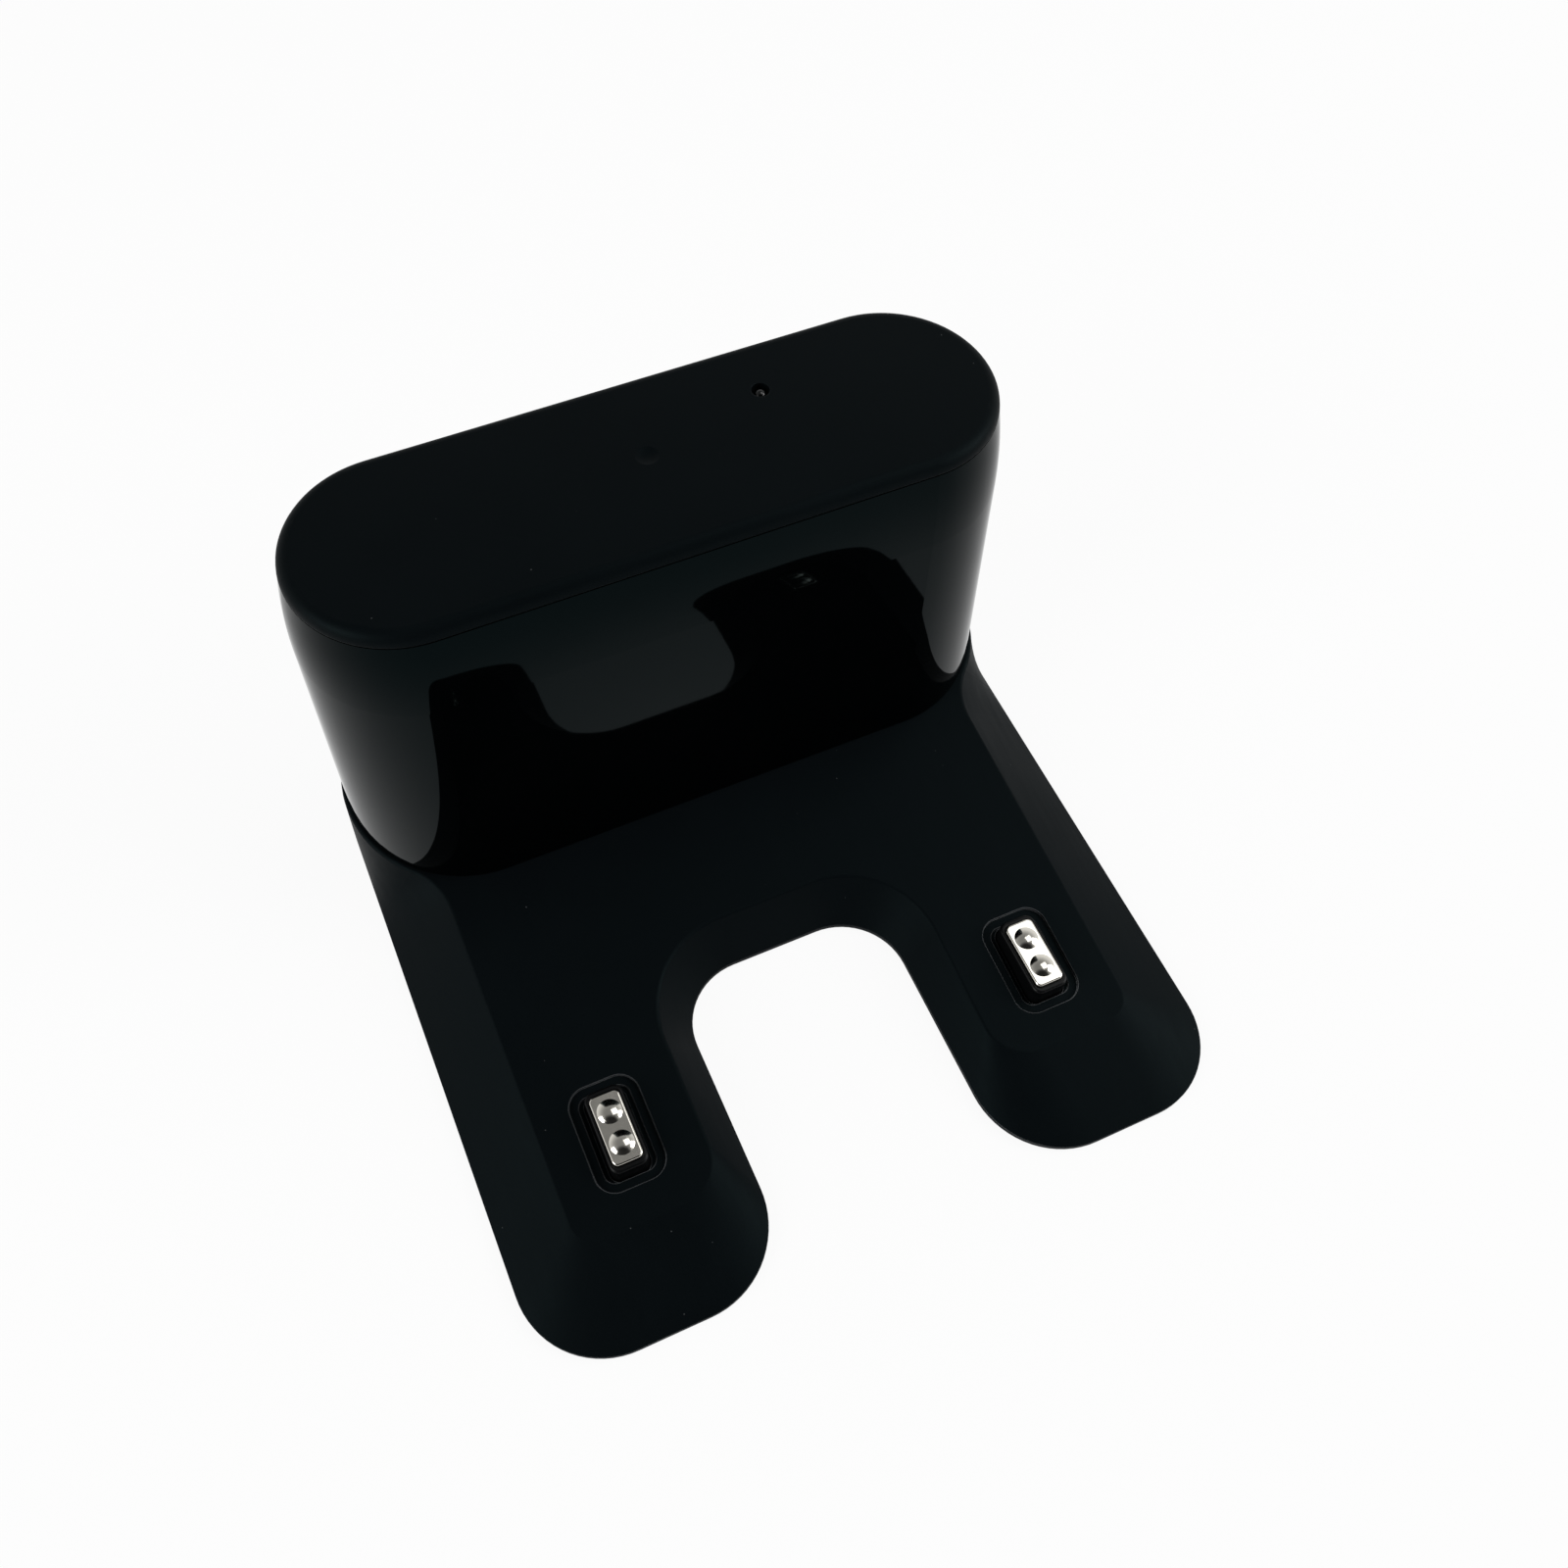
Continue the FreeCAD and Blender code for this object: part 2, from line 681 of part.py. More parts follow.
# Tower sleeve: one wall section with its lean and rolled shoulder, carried round the stadium plan.
# Its foot is cut to the slope of the base's face, and the back has a window for the mains inlet.
sleeve = new_body("tower_sleeve")
SLEEVE_LOW = f"({FOOT_Z} - base_wall)"
plan = stadium("0")
path = sketch(sleeve, "SleevePlan", SLEEVE_LOW)
chain(path, [("0", TOWER_FRONT)] + plan[3:] + plan[:3])
section = sketch(sleeve, "WallSection", "0", role="YZ_Plane")
wall_foot = f"{TOWER_FRONT} + {leaning(SLEEVE_LOW)}"
wall_bend = f"{TOWER_FRONT} + {leaning(SHOULDER_Z)}"
wall_top = f"{TOWER_FRONT} + {TOP_INSET}"
chain(section, [
    (wall_foot, SLEEVE_LOW),
    (wall_bend, SHOULDER_Z, "shoulder_radius", -1),
    (wall_top, SEAM_Z),
    (f"{wall_top} + sleeve_wall", SEAM_Z, "shoulder_radius", 1),
    (f"{wall_bend} + sleeve_wall", SHOULDER_Z),
    (f"{wall_foot} + sleeve_wall", SLEEVE_LOW),
])
round_plan = [f"Edge{index}" for index in range(1, len(path.Geometry) + 1)]
feature(sleeve, "AdditivePipe", section, Spine=(path, round_plan))
foot_cut = sketch(sleeve, "FootSlope", "0", role="YZ_Plane")
near = f"{TOWER_Y} - tower_depth"
far = f"{TOWER_Y} + tower_depth"
chain(foot_cut, [(near, "-foot_gap"), (far, "-foot_gap"), (far, face_z(far)), (near, face_z(near))])
feature(sleeve, "Pocket", foot_cut, SideType="Symmetric", Type="ThroughAll")
window = sketch(sleeve, "InletWindow", f"-({TOWER_Y})", role="XZ_Plane")
chain(window, rounded("inlet_x", INLET_Z, "inlet_width + 2 * fit_gap", "inlet_height + 2 * fit_gap",
                      "inlet_edge_radius + fit_gap"))
feature(sleeve, "Pocket", window, "tower_depth")

# Cap: a lid that goes on in the shoulder's lean and rolls over into a flat top, a recessed seam
# below it, and a skirt inside the sleeve
cap = new_body("top_cap")
lid_foot = sketch(cap, "LidFoot", f"{SEAM_Z} + seam_height")
chain(lid_foot, stadium(TOP_INSET))
lid_top = sketch(cap, "LidTop", "overall_height")
chain(lid_top, stadium(f"{TOP_INSET} + lid_height * {TOP_SINE} / {TOP_COSINE}"))
lid = feature(cap, "AdditiveLoft", lid_foot, Sections=[lid_top], Ruled=True)
soften(cap, "Fillet", lid, edges_where(lid, level_at("overall_height")), Radius="cap_edge_radius")
seam = sketch(cap, "SeamBand", SEAM_Z)
chain(seam, stadium(f"{TOP_INSET} + seam_depth"))
feature(cap, "Pad", seam, "seam_height")
SKIRT_INSET = f"{TOP_INSET} + sleeve_wall + fit_gap"
skirt = sketch(cap, "Skirt", f"{SEAM_Z} - skirt_depth")
chain(skirt, stadium(SKIRT_INSET))
feature(cap, "Pad", skirt, "skirt_depth")
hollow = sketch(cap, "CapHollow", f"{SEAM_Z} - skirt_depth")
chain(hollow, stadium(f"{SKIRT_INSET} + skirt_wall"))
feature(cap, "Pocket", hollow, f"{CEILING} - {SEAM_Z} + skirt_depth", Reversed=True)

# Posts for the indicator's board, pegs that hold it, the lens hole and a shallow dimple
LENS_Y = f"{TOWER_Y} + lens_back"
INDICATOR_Z = f"{CEILING} - indicator_board_drop"
for radius, low_end in (("indicator_post_radius", f"{INDICATOR_Z} + board_thickness"),
                        ("indicator_peg_radius", f"{INDICATOR_Z}")):
    pegs = sketch(cap, "IndicatorPosts", low_end)
    for sign in "-+":
        disc(pegs, f"lens_x {sign} indicator_post_x", LENS_Y, radius)
    feature(cap, "Pad", pegs, f"{CEILING} - ({low_end}) + indicator_post_root")
lens_hole = sketch(cap, "LensHole", "overall_height")
disc(lens_hole, "lens_x", LENS_Y, "lens_radius + lens_gap")
feature(cap, "Pocket", lens_hole, "cap_wall + lens_gap")
dimple = cap.newObject("PartDesign::SubtractiveSphere", "Dimple")
DIMPLE_BALL = "(dimple_radius ^ 2 + dimple_depth ^ 2) / (2 * dimple_depth)"
bind(dimple, Radius=DIMPLE_BALL, Placement__Base__x="dimple_x",
     Placement__Base__y=f"{TOWER_Y} + dimple_back",
     Placement__Base__z=f"overall_height - dimple_depth + {DIMPLE_BALL}")

# Indicator: a clear light pipe through the cap, and a lamp on a small board below it
pipe_foot = f"{INDICATOR_Z} + board_thickness + led_height + led_gap"
pipe = rod("LensPipe", ("lens_x", LENS_Y, pipe_foot), "lens_radius",
           f"overall_height - lens_sink - ({pipe_foot})")
collar = rod("LensCollar", ("lens_x", LENS_Y, f"{CEILING} - lens_flange_height"), "lens_flange_radius",
             "lens_flange_height")
joined("indicator_lens", [pipe, collar])
small_board = block("IndicatorSheet", "lens_x", LENS_Y, INDICATOR_Z, "indicator_board_width",
                    "indicator_board_depth", "board_thickness")
peg_holes = []
for number, sign in enumerate("-+"):
    at = (f"lens_x {sign} indicator_post_x", LENS_Y, f"{INDICATOR_Z} - board_thickness")
    peg_holes.append(rod(f"PegHole{number}", at, "indicator_peg_radius + screw_gap", "3 * board_thickness"))
cut("indicator_board", small_board, joined("PegHoles", peg_holes))
block("indicator_led", "lens_x", LENS_Y, f"{INDICATOR_Z} + board_thickness", "led_width", "led_depth",
      "led_height")

# Contacts. A carrier slides down in its slot against a bowed leaf spring, and its flange stops
# it from coming out. The nickel plate in its top carries two domes, and a stud below the plate
# stands on the spring, which takes the current to a terminal strip on the bottom plate.
FLANGE_TOP = "collar_bottom - collar_stop_gap"
CARRIER_FOOT = f"{FLANGE_TOP} - carrier_flange_thickness"
CARRIER_TOP = f"{face_z(CONTACT_Y)} + carrier_proud"
SEAT_Z = f"{CARRIER_TOP} - contact_seat"
PLATE_Z = f"{SEAT_Z} + contact_thickness"
DOME_BALL = "(dome_radius ^ 2 + dome_height ^ 2) / (2 * dome_height)"
TERMINAL_TOP = f"{PLATE_TOP} + terminal_thickness"
BOW_RISE = f"(nest_ceiling - spring_play - ({TERMINAL_TOP}))"
BOW_RADIUS = f"((spring_reach ^ 2 + {BOW_RISE} ^ 2) / (2 * {BOW_RISE}))"
BOW_INSIDE = f"sqrt(({BOW_RADIUS} - spring_thickness) ^ 2 - ({BOW_RADIUS} - {BOW_RISE}) ^ 2)"
for side, sign in SIDES:
    at = (f"{sign}{CONTACT_X}", CONTACT_Y)

    carrier = new_body(f"contact_carrier_{side}")
    stem = sketch(carrier, "Stem", CARRIER_FOOT)
    chain(stem, rounded(*at, "carrier_width", "carrier_length", "carrier_radius"))
    raised = feature(carrier, "Pad", stem, f"{CARRIER_TOP} - ({CARRIER_FOOT})")
    soften(carrier, "Fillet", raised, edges_where(raised, level_at(CARRIER_TOP)), Radius="carrier_rim")
    lip = sketch(carrier, "Lip", CARRIER_FOOT)
    chain(lip, rounded(*at, "carrier_width + 2 * (carrier_gap + carrier_flange)",
                       "carrier_length + 2 * (carrier_gap + carrier_flange)",
                       "carrier_radius + carrier_gap + carrier_flange"))
    feature(carrier, "Pad", lip, "carrier_flange_thickness")
    seat = sketch(carrier, "PlateSeat", CARRIER_TOP)
    chain(seat, rounded(*at, "contact_width + 2 * contact_gap", "contact_length + 2 * contact_gap",
                        "contact_radius + contact_gap"))
    feature(carrier, "Pocket", seat, "contact_seat")
    bore = sketch(carrier, "StudHole", CARRIER_TOP)
    disc(bore, *at, "stud_radius + screw_gap")
    feature(carrier, "Pocket", bore, Type="ThroughAll")
    nest = sketch(carrier, "SpringNest", CARRIER_FOOT)
    chain(nest, rounded(*at, "nest_width", "nest_length", "nest_radius"))
    feature(carrier, "Pocket", nest, f"nest_ceiling - ({CARRIER_FOOT})", Reversed=True)

    plate = new_body(f"contact_plate_{side}")
    strip = sketch(plate, "Plate", SEAT_Z)
    chain(strip, rounded(*at, "contact_width", "contact_length", "contact_radius"))
    pressed = feature(plate, "Pad", strip, "contact_thickness")
    soften(plate, "Fillet", pressed, edges_where(pressed, level_at(PLATE_Z)), Radius="contact_edge_radius")
    stud = sketch(plate, "Stud", "nest_ceiling")
    disc(stud, *at, "stud_radius")
    feature(plate, "Pad", stud, f"{SEAT_Z} - nest_ceiling")
    for number, along in enumerate("-+"):
        dome = plate.newObject("PartDesign::AdditiveSphere", "Dome")
        bind(dome, Radius=DOME_BALL, Angle1=f"asin(1 - dome_height / ({DOME_BALL}))",
             Placement__Base__x=at[0], Placement__Base__y=f"{CONTACT_Y} {along} dome_pitch / 2",
             Placement__Base__z=f"{PLATE_Z} + dome_height - {DOME_BALL}")

    strip = block(f"TerminalStrip{side}", at[0], f"{CONTACT_Y} + (terminal_back - terminal_front) / 2",
                  PLATE_TOP, "terminal_width", "terminal_front + terminal_back", "terminal_thickness")
    crimp = rod(f"Crimp{side}", (at[0], f"{CONTACT_Y} + terminal_back - crimp_length",
                                 f"{PLATE_TOP} + crimp_radius"), "crimp_radius", "crimp_length", BACKWARD)
    joined(f"contact_terminal_{side}", [strip, crimp])

    spring = new_body(f"contact_spring_{side}")
    bow = sketch(spring, "Bow", f"{at[0]} - spring_width / 2", role="YZ_Plane")
    chain(bow, [
        (f"{CONTACT_Y} + spring_reach", TERMINAL_TOP, BOW_RADIUS, 1),
        (f"{CONTACT_Y} - spring_reach", TERMINAL_TOP),
        (f"{CONTACT_Y} - {BOW_INSIDE}", TERMINAL_TOP, f"{BOW_RADIUS} - spring_thickness", -1),
        (f"{CONTACT_Y} + {BOW_INSIDE}", TERMINAL_TOP),
    ])
    feature(spring, "Pad", bow, "spring_width")

# Leads: each runs from its crimp back through the base, up through a hole and into the board
WEB_BACK = f"{TOWER_Y} - web_front + chassis_wall"
POWER_FRONT = f"{WEB_BACK} + standoff_height"
POWER_BACK = f"{POWER_FRONT} + board_thickness"
LEAD_Z = f"{PLATE_TOP} + crimp_radius"
LEAD_END_Z = f"{POWER_LOW} + lead_rise"


def lead_path(sign):
    """Straight runs joined by tangent arcs."""
    corners = [FreeCAD.Vector(*(value(text) for text in corner)) for corner in (
        (f"{sign}{CONTACT_X}", f"{CONTACT_Y} + terminal_back", LEAD_Z),
        (f"{sign}{CONTACT_X}", f"{NOTCH_Y} + lead_turn_back", LEAD_Z),
        (f"{sign}lead_in_x", f"{TOWER_Y} + lead_in_back", LEAD_Z),
        (f"{sign}lead_in_x", f"{TOWER_Y} + lead_in_back", LEAD_END_Z),
        (f"{sign}lead_in_x", POWER_BACK, LEAD_END_Z),
    )]
    edges = []
    start = corners[0]
    for before, corner, after in zip(corners, corners[1:], corners[2:]):
        way_in = (corner - before).normalize()
        way_out = (after - corner).normalize()
        turn = way_in.getAngle(way_out)
        reach = value("lead_bend") * math.tan(turn / 2)
        first = corner - way_in * reach
        last = corner + way_out * reach
        bisector = (way_out - way_in).normalize()
        middle = corner + bisector * value("lead_bend") * (1 / math.cos(turn / 2) - 1)
        edges += [Part.LineSegment(start, first).toShape(), Part.Arc(first, middle, last).toShape()]
        start = last
    edges.append(Part.LineSegment(start, corners[-1]).toShape())
    return Part.Wire(edges)


for side, sign in SIDES:
    path = lead_path(sign)
    round_section = Part.Wire(Part.makeCircle(value("lead_radius"), path.Edges[0].firstVertex().Point,
                                              FreeCAD.Vector(0, 1, 0)))
    lead = doc.addObject("Part::Feature", f"contact_lead_{side}")
    lead.Label = f"contact_lead_{side}"
    lead.Shape = path.makePipeShell([round_section], True, True)
    lead.Placement = FreeCAD.Placement()

# Chassis: a foot on the base's posts, a channel that stands on it, and standoffs for the boards
chassis = new_body("tower_chassis")
foot = sketch(chassis, "Foot", POST_TOP)
chain(foot, rounded("0", TOWER_Y, "chassis_width", "chassis_depth", "post_radius"))
feature(chassis, "Pad", foot, "chassis_foot")
HALF_CHANNEL = "(power_board_width / 2 + chassis_wall)"
WEB_FRONT = f"{TOWER_Y} - web_front"
FLANGE_BACK = f"{WEB_BACK} + chassis_flange"
channel = sketch(chassis, "Channel", POST_TOP)
chain(channel, mirrored([
    (f"-{HALF_CHANNEL} + chassis_wall", WEB_BACK),
    (f"-{HALF_CHANNEL} + chassis_wall", FLANGE_BACK),
    (f"-{HALF_CHANNEL}", FLANGE_BACK),
    (f"-{HALF_CHANNEL}", WEB_FRONT),
]))
feature(chassis, "Pad", channel, f"{CHASSIS_TOP} - {POST_TOP}")
POWER_HOLES = [(f"{sign}power_hole_x", z) for _, sign in SIDES
               for z in (f"{POWER_LOW} + power_hole_edge", f"{POWER_HIGH} - power_hole_edge")]
IR_HOLES = [(f"{sign}ir_hole_x", z) for _, sign in SIDES
            for z in (f"{IR_LOW} + ir_hole_edge", f"{POWER_HIGH} - ir_hole_edge")]
for places, start, reverse in ((POWER_HOLES, WEB_BACK, True), (IR_HOLES, WEB_FRONT, False)):
    standoffs = sketch(chassis, "Standoffs", f"-({start})", role="XZ_Plane")
    for x, z in places:
        disc(standoffs, x, z, "standoff_radius")
    feature(chassis, "Pad", standoffs, "standoff_height", Reversed=reverse)
    board_pilots = sketch(chassis, "StandoffPilots", f"-({start})", role="XZ_Plane")
    for x, z in places:
        disc(board_pilots, x, z, "board_screw_radius + screw_gap")
    feature(chassis, "Pocket", board_pilots, "standoff_height", Reversed=not reverse)
passage = sketch(chassis, "LeadPassage", f"{POST_TOP} + chassis_foot")
for _, sign in SIDES:
    disc(passage, f"{sign}lead_in_x", f"{TOWER_Y} + lead_in_back", "lead_hole_radius")
for post_x, post_y in POSTS:
    disc(passage, post_x, post_y, "screw_radius + screw_gap")
feature(chassis, "Pocket", passage, "chassis_foot")

# Screws from below through the base's posts into the chassis
chassis_screws = []
for number, (post_x, post_y) in enumerate(POSTS, 1):
    at = (post_x, post_y, f"{POST_FOOT} - chassis_head_height")
    shank = rod(f"ChassisShank{number}", at, "screw_radius",
                f"{POST_TOP} + chassis_foot - {POST_FOOT} + chassis_head_height")
    head = rod(f"ChassisHead{number}", at, "screw_head_radius", "chassis_head_height")
    chassis_screws.append(joined(f"ChassisScrew{number}", [head, shank]))
group("chassis_screws", chassis_screws)


# Power board behind the web and beacon board in front of it, each on four standoffs
def board(name, width, front, low, places):
    middle = f"{front} + board_thickness / 2"
    plain = block(f"{name}_sheet", "0", middle, low, width, "board_thickness", f"{POWER_HIGH} - {low}")
    drills = []
    for number, (x, z) in enumerate(places, 1):
        at = (x, f"{front} - board_thickness", z)
        radius = "board_screw_radius + screw_gap"
        drills.append(rod(f"{name}_hole{number}", at, radius, "3 * board_thickness", BACKWARD))
    return cut(name, plain, joined(f"{name}_holes", drills))


IR_BACK = f"{WEB_FRONT} - standoff_height"
IR_FRONT = f"{IR_BACK} - board_thickness"
board("power_board", "power_board_width", POWER_FRONT, POWER_LOW, POWER_HOLES)
board("ir_board", "ir_board_width", IR_FRONT, IR_LOW, IR_HOLES)
board_screws = []
for name, places, face, inward, outward in (
    ("Power", POWER_HOLES, POWER_BACK, FORWARD, BACKWARD),
    ("Ir", IR_HOLES, IR_FRONT, BACKWARD, FORWARD),
):
    for number, (x, z) in enumerate(places, 1):
        at = (x, face, z)
        shank = rod(f"{name}Shank{number}", at, "board_screw_radius", "board_screw_length", inward)
        head = rod(f"{name}Head{number}", at, "board_screw_head", "board_screw_radius", outward)
        board_screws.append(joined(f"{name}Screw{number}", [shank, head]))
group("board_screws", board_screws)

# Beacon: three emitters that look forward through the sleeve, in a shroud with three tunnels
IR_MIDDLE = f"{IR_LOW} + ir_board_height / 2"
emitters = []
tunnels = []
for number, sign in enumerate(("-1", "0", "1")):
    x = f"{sign} * emitter_spacing"
    barrel = rod(f"Emitter{number}", (x, IR_FRONT, IR_MIDDLE), "emitter_radius", "emitter_length", FORWARD)
    nose = solid("Sphere", f"EmitterNose{number}", (x, f"{IR_FRONT} - emitter_length", IR_MIDDLE),
                 Radius="emitter_radius")
    emitters.append(joined(f"EmitterBody{number}", [barrel, nose]))
    tunnels.append(rod(f"Tunnel{number}", (x, f"{IR_FRONT} + shroud_depth", IR_MIDDLE),
                       "emitter_radius + shroud_gap", "3 * shroud_depth", FORWARD))
group("ir_emitters", emitters)
shroud_block = block("ShroudBlock", "0", f"{IR_FRONT} - shroud_depth / 2",
                     f"{IR_MIDDLE} - shroud_height / 2", "shroud_width", "shroud_depth", "shroud_height")
cut("ir_shroud", shroud_block, joined("Tunnels", tunnels))

# Mains inlet at the tower's back: a figure-eight socket with two round pins
inlet = new_body("mains_inlet")
INLET_BACK = f"{TOWER_BACK} - {leaning(f'{INLET_Z} + inlet_height / 2')} - inlet_sink"
shell = sketch(inlet, "InletShell", f"-({INLET_BACK})", role="XZ_Plane")
chain(shell, rounded("inlet_x", INLET_Z, "inlet_width", "inlet_height", "inlet_edge_radius"))
feature(inlet, "Pad", shell, f"{INLET_BACK} - ({POWER_BACK})")
socket = sketch(inlet, "Socket", f"-({INLET_BACK})", role="XZ_Plane")
chain(socket, [
    ("inlet_x - socket_spread", f"{INLET_Z} + socket_radius", "socket_radius", 1),
    ("inlet_x - socket_spread - socket_radius", INLET_Z, "socket_radius", 1),
    ("inlet_x - socket_spread", f"{INLET_Z} - socket_radius"),
    ("inlet_x + socket_spread", f"{INLET_Z} - socket_radius", "socket_radius", 1),
    ("inlet_x + socket_spread + socket_radius", INLET_Z, "socket_radius", 1),
    ("inlet_x + socket_spread", f"{INLET_Z} + socket_radius"),
])
feature(inlet, "Pocket", socket, "socket_depth", Reversed=True)
SOCKET_FLOOR = f"{INLET_BACK} - socket_depth"
pins = []
for number, sign in enumerate("-+"):
    at = (f"inlet_x {sign} pin_pitch / 2", SOCKET_FLOOR, INLET_Z)
    shaft = rod(f"PinShaft{number}", at, "pin_radius", "pin_length - pin_radius", BACKWARD)
    tip = solid("Sphere", f"PinTip{number}", (at[0], f"{SOCKET_FLOOR} + pin_length - pin_radius", at[2]),
                Radius="pin_radius")
    pins.append(joined(f"Pin{number}", [shaft, tip]))
group("inlet_pins", pins)

# Parts of the power supply, standing on the board's back
def upright(name, x, z, radius, length):
    return rod(name, (x, POWER_BACK, z), radius, length, BACKWARD)


def standing(name, x, z, width, height, depth):
    return block(name, x, f"{POWER_BACK} + ({depth}) / 2", f"{z} - ({height}) / 2", width, depth, height)


SUPPLY_Z = f"({POWER_HIGH} - core_height)"
SUPPLY_WALL = f"{TOWER_BACK} - {leaning(f'{SUPPLY_Z} + core_height / 2')} - sleeve_wall"
SUPPLY_ROOM = f"({SUPPLY_WALL} - supply_gap - ({POWER_BACK}))"
LOW_ROW_Z = f"({POWER_LOW} + low_row)"
CORE_X = "-core_width / 2 - bulk_radius"
core_end_depth = f"core_end_share * {SUPPLY_ROOM}"
core = standing("Core", CORE_X, SUPPLY_Z, "core_width", "core_height", f"core_share * {SUPPLY_ROOM}")
winding = upright("Winding", CORE_X, SUPPLY_Z, "winding_radius", f"{SUPPLY_ROOM} - {core_end_depth} / 2")
core_end = block("CoreEnd", CORE_X, f"{POWER_BACK} + {SUPPLY_ROOM} - {core_end_depth} / 2",
                 f"{SUPPLY_Z} - core_height / 2", "core_width", core_end_depth, "core_height")
joined("transformer", [core, winding, core_end])
upright("bulk_capacitor", "bulk_radius", SUPPLY_Z, "bulk_radius", f"bulk_share * {SUPPLY_ROOM}")
upright("line_choke", "choke_x", f"{POWER_HIGH} - choke_drop", "choke_radius", "choke_length")
upright("output_capacitor", "-output_x", LOW_ROW_Z, "output_radius", "output_length")
standing("fuse", "fuse_x", LOW_ROW_Z, "fuse_width", "fuse_height", "fuse_depth")
standing("rectifier", "-rectifier_x", LOW_ROW_Z, "rectifier_width", "rectifier_height", "rectifier_depth")

doc.recompute()

NODES = (
    "base_cover", "bottom_plate", "rubber_feet", "base_screws", "tower_sleeve", "top_cap",
    "indicator_lens", "indicator_board", "indicator_led", "contact_carrier_left", "contact_carrier_right",
    "contact_plate_left", "contact_plate_right", "contact_spring_left", "contact_spring_right",
    "contact_terminal_left", "contact_terminal_right", "contact_lead_left", "contact_lead_right",
    "tower_chassis", "chassis_screws", "power_board", "ir_board", "board_screws", "ir_emitters",
    "ir_shroud", "mains_inlet", "inlet_pins", "transformer", "bulk_capacitor", "line_choke",
    "output_capacitor", "fuse", "rectifier",
)
for thing in doc.Objects:
    if "Invalid" in thing.State or "Error" in thing.State:
        raise RuntimeError(f"{thing.Label} failed: {thing.State}")
pieces = {thing.Label: thing for thing in doc.Objects if thing.Label in NODES}
for node in NODES:
    shape = pieces[node].Shape
    if shape.isNull() or not shape.isValid() or not shape.Solids:
        raise RuntimeError(f"{node} has no valid solid")
os.makedirs("parts", exist_ok=True)
for node in NODES:
    pieces[node].Shape.exportStep(f"parts/{node}.step")
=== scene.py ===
import math

import bmesh
import bpy
from mathutils import Matrix, Vector


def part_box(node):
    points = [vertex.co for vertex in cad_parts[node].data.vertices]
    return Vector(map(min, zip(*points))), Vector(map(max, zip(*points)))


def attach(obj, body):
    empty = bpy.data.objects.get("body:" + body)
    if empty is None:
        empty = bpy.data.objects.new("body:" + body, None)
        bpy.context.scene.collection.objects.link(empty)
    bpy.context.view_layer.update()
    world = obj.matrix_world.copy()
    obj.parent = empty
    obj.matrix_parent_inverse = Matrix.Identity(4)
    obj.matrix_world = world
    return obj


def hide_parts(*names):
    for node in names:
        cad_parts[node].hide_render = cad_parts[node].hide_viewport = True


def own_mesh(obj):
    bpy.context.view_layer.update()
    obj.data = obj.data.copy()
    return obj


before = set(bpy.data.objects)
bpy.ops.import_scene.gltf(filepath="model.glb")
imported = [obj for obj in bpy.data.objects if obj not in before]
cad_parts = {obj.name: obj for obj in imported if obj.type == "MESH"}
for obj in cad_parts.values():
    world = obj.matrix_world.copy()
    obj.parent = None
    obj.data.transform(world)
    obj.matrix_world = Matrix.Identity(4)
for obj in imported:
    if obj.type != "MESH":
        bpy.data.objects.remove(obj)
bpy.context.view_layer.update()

# Base shell: one injection moulding in black plastic with a fine spark-eroded skin, sloping
# down to the floor all round. The robot's nose leaves faint rubs along the arms, and a few
# specks of house dust lie on it.


class Node:
    """A shader socket that takes part in Python expressions."""

    def __init__(self, tree, socket):
        self.tree = tree
        self.socket = socket

    def add(self, kind, settings=None, output=0, **inputs):
        """Any node: its type, its settings, then values or links for its sockets."""
        made = self.tree.nodes.new(kind)
        for name, setting in (settings or {}).items():
            setattr(made, name, setting)
        for name, given in inputs.items():
            place = int(name[1:]) if name[0] == "i" and name[1:].isdigit() else name.replace("_", " ")
            if isinstance(given, Node):
                self.tree.links.new(given.socket, made.inputs[place])
            else:
                made.inputs[place].default_value = given
        return Node(self.tree, made.outputs[output])

    def maths(self, operation, first, second):
        return self.add("ShaderNodeMath", {"operation": operation}, i0=first, i1=second)

    def __add__(self, other):
        return self.maths("ADD", self, other)

    __radd__ = __add__

    def __mul__(self, other):
        return self.maths("MULTIPLY", self, other)

    __rmul__ = __mul__

    def __sub__(self, other):
        return self.maths("SUBTRACT", self, other)

    def __rsub__(self, other):
        return self.maths("SUBTRACT", other, self)

    def __gt__(self, other):
        return self.maths("GREATER_THAN", self, other)


def finish(name, **constants):
    """A new material: its shader, and a node that stands at the object's own coordinates."""
    made = bpy.data.materials.new(name)
    made.use_nodes = True
    shader = made.node_tree.nodes["Principled BSDF"]
    for socket, given in constants.items():
        shader.inputs[socket.replace("_", " ")].default_value = given
    coordinates = made.node_tree.nodes.new("ShaderNodeTexCoord")
    return made, shader, Node(made.node_tree, coordinates.outputs["Object"])


def link(shader, **inputs):
    for socket, given in inputs.items():
        given.tree.links.new(given.socket, shader.inputs[socket.replace("_", " ")])


def noise(place, scale, detail=2.0, roughness=0.5):
    return place.add("ShaderNodeTexNoise", Vector=place, Scale=scale, Detail=detail, Roughness=roughness)


def drawn_out(place, scale):
    """Noise drawn out along the way that the robot drives in."""
    return noise(place.add("ShaderNodeMapping", Vector=place, Scale=(1.0, 0.06, 1.0)), scale, 3.0, 0.6)


def between(factor, low, high):
    """A colour between two, by a factor that changes over the surface."""
    ends = [end if isinstance(end, Node) else (*end, 1.0) for end in (low, high)]
    return factor.add("ShaderNodeMix", {"data_type": "RGBA"}, output=2, i0=factor, i6=ends[0], i7=ends[1])


